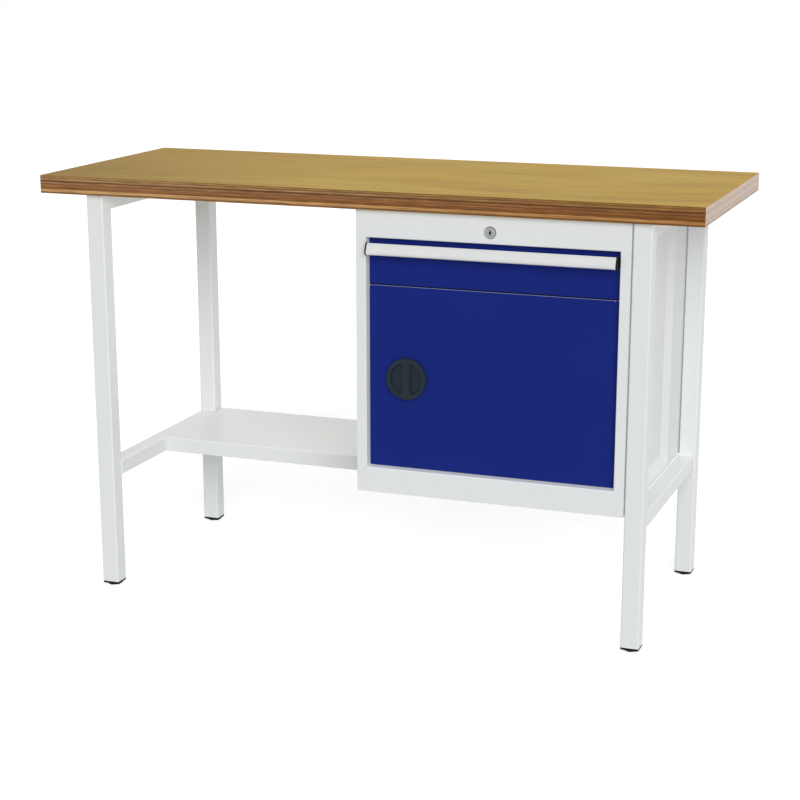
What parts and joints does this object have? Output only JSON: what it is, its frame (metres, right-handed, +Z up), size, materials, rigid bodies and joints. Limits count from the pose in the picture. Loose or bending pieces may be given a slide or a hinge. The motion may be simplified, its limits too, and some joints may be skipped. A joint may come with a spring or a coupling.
{
  "type": "workbench",
  "caption": "Long workbench: thick plywood top on square tube legs, open bay with a low sheet shelf at the left, steel cabinet with a lockable drawer over a hinged door at the right",
  "frame": {"origin": "on the floor under the middle of the object's outer box, at the level of the soles of the feet", "axes": "+X to the right along the worktop's length, +Y to the back, +Z up; the drawer, door and lock face -Y"},
  "size_m": [1.5, 0.604, 0.957],
  "materials": {
    "worktop_wood": "oiled plywood, satin",
    "grey_paint": "semi-gloss powder coat",
    "blue_paint": "semi-gloss powder coat",
    "pale_aluminium": "satin anodised",
    "black_plastic": "moulded",
    "dark_plastic": "moulded, fine texture",
    "zinc_steel": "zinc plated",
    "nickel": "nickel plated"
  },
  "bodies": {
    "bench": {"worktop": "worktop_wood", "leg_front_left": "grey_paint", "leg_front_right": "grey_paint", "leg_back_left": "grey_paint", "leg_back_right": "grey_paint", "foot_front_left": "black_plastic", "foot_front_right": "black_plastic", "foot_back_left": "black_plastic", "foot_back_right": "black_plastic", "upper_rail_left": "grey_paint", "upper_rail_right": "grey_paint", "lower_rail_left": "grey_paint", "lower_rail_right": "grey_paint", "top_screw_left_1": "zinc_steel", "top_screw_left_2": "zinc_steel", "top_screw_right_1": "zinc_steel", "top_screw_right_2": "zinc_steel", "shelf": "grey_paint", "shelf_rail_bolt_1": "zinc_steel", "shelf_rail_bolt_2": "zinc_steel", "shelf_cabinet_bolt_1": "zinc_steel", "shelf_cabinet_bolt_2": "zinc_steel", "cabinet_left_side": "grey_paint", "cabinet_right_side": "grey_paint", "cabinet_bottom": "grey_paint", "cabinet_roof": "grey_paint", "cabinet_back": "grey_paint", "frame_left_stile": "grey_paint", "frame_right_stile": "grey_paint", "frame_top_rail": "grey_paint", "frame_bottom_rail": "grey_paint", "divider": "grey_paint", "inner_shelf": "grey_paint", "inner_shelf_ledger_left": "grey_paint", "inner_shelf_ledger_right": "grey_paint", "hinge_pin_lower": "zinc_steel", "hinge_pin_upper": "zinc_steel", "slide_fixed_left": "zinc_steel", "slide_fixed_right": "zinc_steel", "lock_body": "nickel"},
    "drawer": {"drawer_front": "blue_paint", "drawer_inner_front": "grey_paint", "drawer_base": "grey_paint", "drawer_back": "grey_paint", "drawer_left_side": "grey_paint", "drawer_right_side": "grey_paint", "drawer_handle": "pale_aluminium", "handle_cap_left": "black_plastic", "handle_cap_right": "black_plastic", "slide_inner_left": "zinc_steel", "slide_inner_right": "zinc_steel"},
    "drawer_slides": {"slide_middle_left": "zinc_steel", "slide_middle_right": "zinc_steel"},
    "door": {"door_panel": "blue_paint"},
    "knob": {"door_knob": "dark_plastic", "latch_bar": "zinc_steel"},
    "lock": {"lock_plug": "nickel", "lock_cam": "zinc_steel"}
  },
  "joints": [
    {"name": "drawer_slide", "type": "slide", "parent": "bench", "child": "drawer", "axis": [0, -1, 0], "range_m": [0, 0.43]},
    {"name": "slides_extend", "type": "slide", "parent": "bench", "child": "drawer_slides", "axis": [0, -1, 0], "range_m": [0, 0.215]},
    {"name": "door_hinge", "type": "hinge", "parent": "bench", "child": "door", "pos_m": [0.5643, -0.26295, 0.5533], "axis": [0, 0, 1], "range_deg": [0, 100]},
    {"name": "knob_turn", "type": "hinge", "parent": "door", "child": "knob", "pos_m": [0.1127, -0.26695, 0.5533], "axis": [0, 1, 0], "range_deg": [0, 90]},
    {"name": "lock_turn", "type": "hinge", "parent": "bench", "child": "lock", "pos_m": [0.3015, -0.28495, 0.8809], "axis": [0, 1, 0], "range_deg": [0, 90]}
  ],
  "couplings": [
    {"joint": "slides_extend", "follows": "drawer_slide", "ratio": 0.5}
  ]
}
